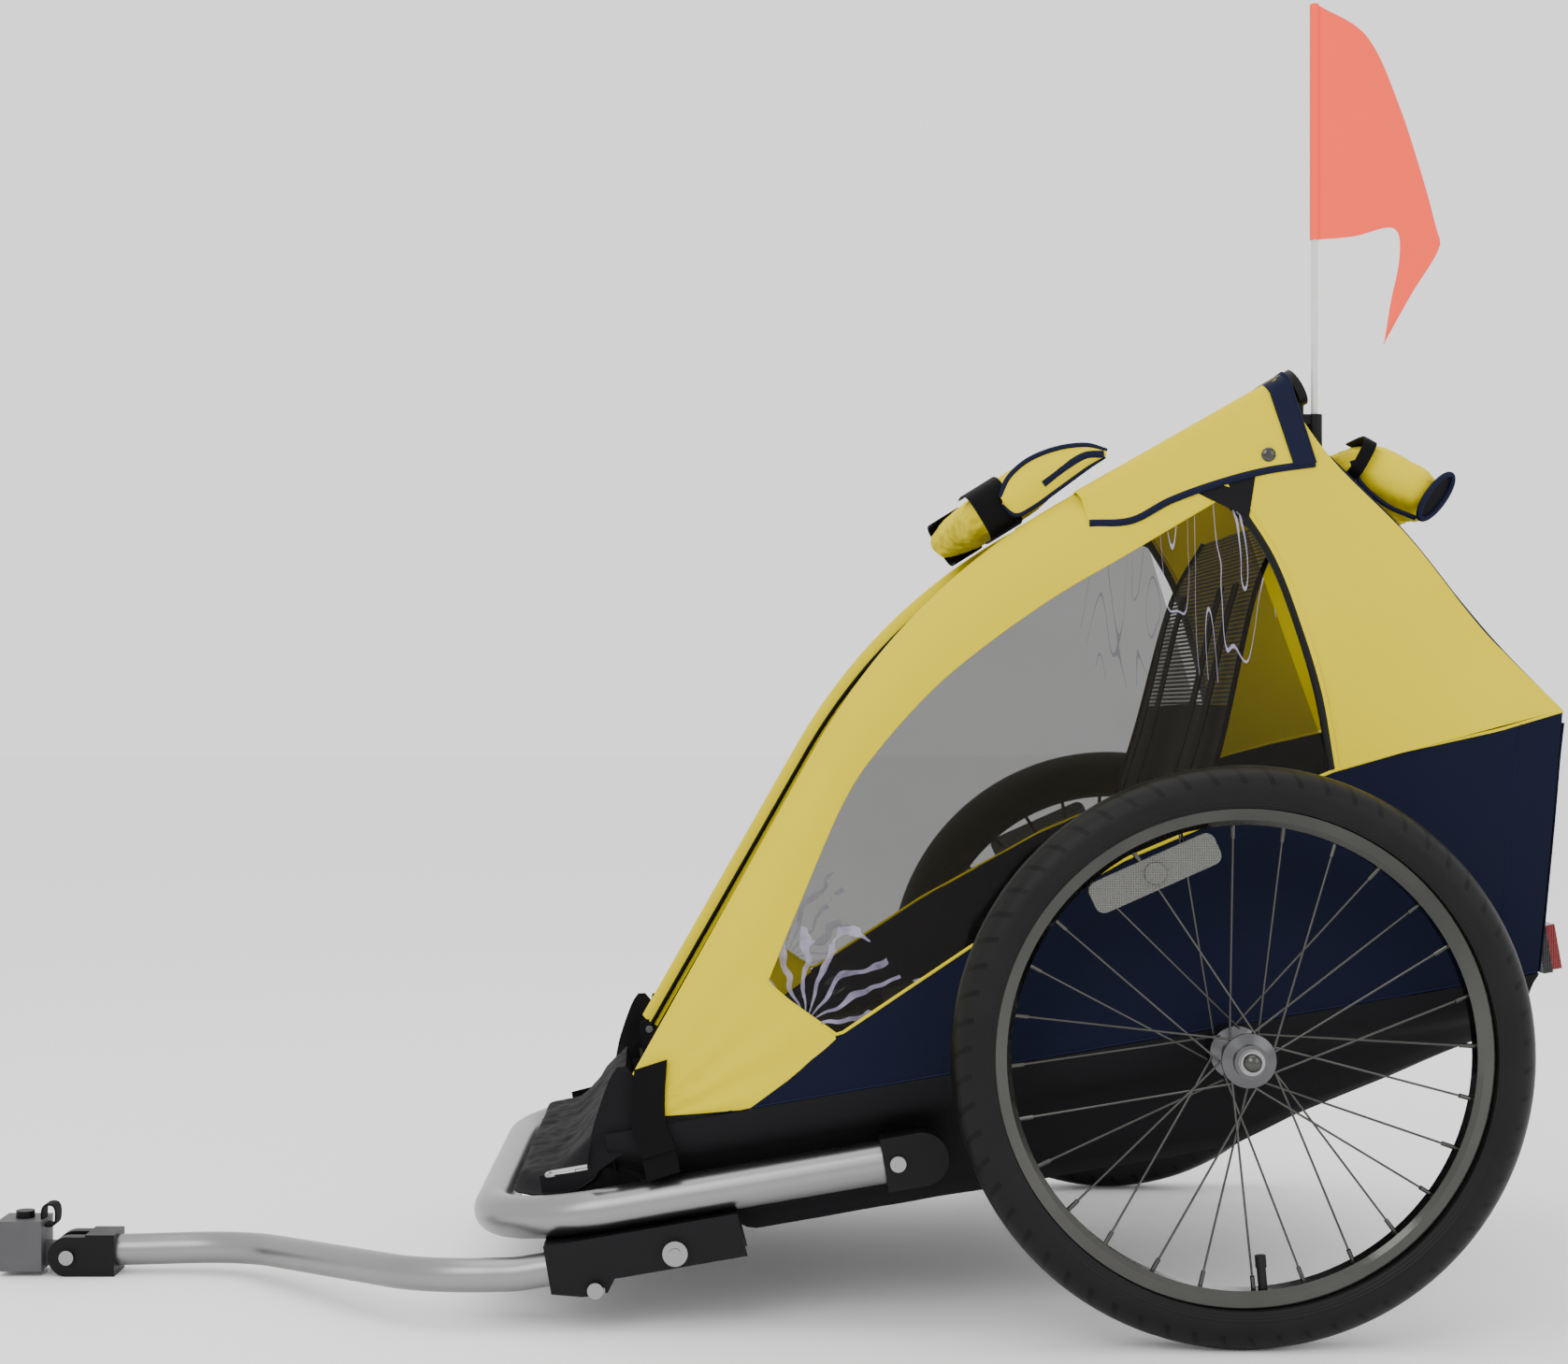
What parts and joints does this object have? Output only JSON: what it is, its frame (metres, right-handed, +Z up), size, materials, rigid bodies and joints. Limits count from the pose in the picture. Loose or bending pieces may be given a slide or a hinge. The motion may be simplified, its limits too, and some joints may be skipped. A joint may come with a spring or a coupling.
{
  "type": "child bicycle trailer",
  "caption": "Two-wheeled child bicycle trailer: a pitched fabric cabin on a folding tube frame, with film windows, a silver bumper, a side-mounted tow bar with a hitch, and a safety flag.",
  "frame": {"origin": "bottom centre of the bounding box, on the ground between the hitch tip and the tail", "axes": "+Z up from the ground, +X rearward from the hitch to the tail, +Y to the trailer's right"},
  "size_m": [1.4525, 0.8344, 1.191],
  "materials": {
    "silver_tube": "satin",
    "black_frame": "satin powder coat",
    "black_plastic": "textured moulding",
    "steel": "zinc plated",
    "chrome": "polished",
    "hub_alloy": "polished",
    "tyre": "matt",
    "valve_rubber": "matt",
    "yellow_fabric": "coated woven polyester",
    "navy_fabric": "woven polyester",
    "black_fabric": "woven polyester",
    "clear_film": "glossy, lightly smoked film",
    "coral_fabric": "fluorescent nylon",
    "clear_lens": "prismatic lens",
    "red_lens": "prismatic lens",
    "red_plastic": "satin moulding",
    "grey_plastic": "glass-filled moulding",
    "white_rod": "glass-fibre rod"
  },
  "bodies": {
    "frame": {"side_rails": "black_frame", "cross_tubes": "black_frame", "wheel_receivers": "black_frame", "front_bumper": "silver_tube", "bumper_connectors": "black_plastic", "connector_bolts": "steel", "hoop_hinge_brackets": "black_frame", "rear_hinge_brackets": "black_frame", "hinge_pins": "steel", "tow_bracket": "black_frame", "tow_pivot_bolt": "steel", "floor_tub": "black_fabric", "seat_cushion": "black_fabric", "front_strap": "black_fabric", "snap_hook": "steel", "harness_buckles": "black_plastic", "rear_reflectors": "red_lens", "wheel_axles": "steel", "side_panels": "yellow_fabric", "windows": "clear_film", "lower_panels": "navy_fabric", "bow_rods": "black_frame", "seat_back": "black_fabric", "harness_straps": "black_fabric", "rear_panel": "navy_fabric"},
    "front_hoop_body": {"front_hoop": "black_frame", "hoop_end_caps": "black_plastic", "roof_cover": "yellow_fabric", "front_roll": "yellow_fabric", "rear_roll": "yellow_fabric", "flag_holder": "black_plastic"},
    "rear_hoop_body": {"rear_hoop": "black_frame"},
    "left_wheel": {"left_tyre": "tyre", "left_rim": "chrome", "left_spokes": "chrome", "left_hub": "hub_alloy", "left_bearings": "steel", "left_valve": "valve_rubber", "left_spoke_reflector": "clear_lens"},
    "right_wheel": {"right_tyre": "tyre", "right_rim": "chrome", "right_spokes": "chrome", "right_hub": "hub_alloy", "right_bearings": "steel", "right_valve": "valve_rubber", "right_spoke_reflector": "clear_lens"},
    "left_release": {"left_release_button": "chrome"},
    "right_release": {"right_release_button": "chrome"},
    "tow_arm": {"tow_bar": "silver_tube", "hitch_clevis": "black_plastic", "clevis_bolt": "steel"},
    "tow_pin": {"tow_lock_pin": "steel"},
    "coupling": {"coupling_housing": "grey_plastic", "safety_strap": "black_fabric"},
    "coupling_pin_body": {"coupling_pin": "black_plastic"},
    "flag_body": {"flag_pole": "white_rod", "flag": "coral_fabric"},
    "hook_gate": {"snap_gate": "steel"},
    "left_buckle": {"left_buckle_button": "red_plastic"},
    "right_buckle": {"right_buckle_button": "red_plastic"}
  },
  "joints": [
    {"name": "left_wheel_spin", "type": "hinge", "parent": "frame", "child": "left_wheel", "pos_m": [0.415, -0.37, 0.249], "axis": [0, 1, 0], "continuous": true},
    {"name": "right_wheel_spin", "type": "hinge", "parent": "frame", "child": "right_wheel", "pos_m": [0.415, 0.37, 0.249], "axis": [0, 1, 0], "continuous": true},
    {"name": "hoop_fold", "type": "hinge", "parent": "frame", "child": "front_hoop_body", "pos_m": [-0.10813, 0, 0.19314], "axis": [0, 1, 0], "range_deg": [0, 35], "deforming": ["side_panels", "windows", "lower_panels", "bow_rods", "seat_back", "harness_straps", "rear_panel"]},
    {"name": "rear_hoop_fold", "type": "hinge", "parent": "frame", "child": "rear_hoop_body", "pos_m": [0.59644, 0, 0.31484], "axis": [0, 1, 0], "range_deg": [-120, 0]},
    {"name": "tow_bar_swing", "type": "hinge", "parent": "frame", "child": "tow_arm", "pos_m": [-0.06976, -0.295, 0.07089], "axis": [0, 1, 0], "range_deg": [-95, 0]},
    {"name": "tow_lock_pin_slide", "type": "slide", "parent": "tow_arm", "child": "tow_pin", "axis": [0, -1, 0], "range_m": [0, 0.05]},
    {"name": "hitch_pitch", "type": "hinge", "parent": "tow_arm", "child": "coupling", "pos_m": [-0.658, -0.075, 0.019], "axis": [0, 1, 0], "range_deg": [-45, 45]},
    {"name": "coupling_pin_slide", "type": "slide", "parent": "coupling", "child": "coupling_pin_body", "axis": [0, 0, 1], "range_m": [0, 0.055]},
    {"name": "left_release_press", "type": "slide", "parent": "frame", "child": "left_release", "axis": [0, 1, 0], "range_m": [0, 0.0025], "stiffness_N_per_m": 800, "springref_m": -0.004},
    {"name": "right_release_press", "type": "slide", "parent": "frame", "child": "right_release", "axis": [0, -1, 0], "range_m": [0, 0.0025], "stiffness_N_per_m": 800, "springref_m": -0.004},
    {"name": "flag_lift", "type": "slide", "parent": "front_hoop_body", "child": "flag_body", "axis": [0, 0, 1], "range_m": [0, 0.06]},
    {"name": "snap_gate_open", "type": "hinge", "parent": "frame", "child": "hook_gate", "pos_m": [-0.14798, -0.257, 0.13247], "axis": [0.1702, 0, -0.9854], "range_deg": [0, 25], "stiffness_Nm_per_rad": 0.02, "springref_deg": -11.46},
    {"name": "left_buckle_press", "type": "slide", "parent": "frame", "child": "left_buckle", "axis": [0.1702, 0, -0.9854], "range_m": [0, 0.003], "stiffness_N_per_m": 600, "springref_m": -0.003},
    {"name": "right_buckle_press", "type": "slide", "parent": "frame", "child": "right_buckle", "axis": [0.1702, 0, -0.9854], "range_m": [0, 0.003], "stiffness_N_per_m": 600, "springref_m": -0.003}
  ],
  "couplings": [
    {"joint": "rear_hoop_fold", "follows": "hoop_fold", "ratio": -3.4286}
  ]
}
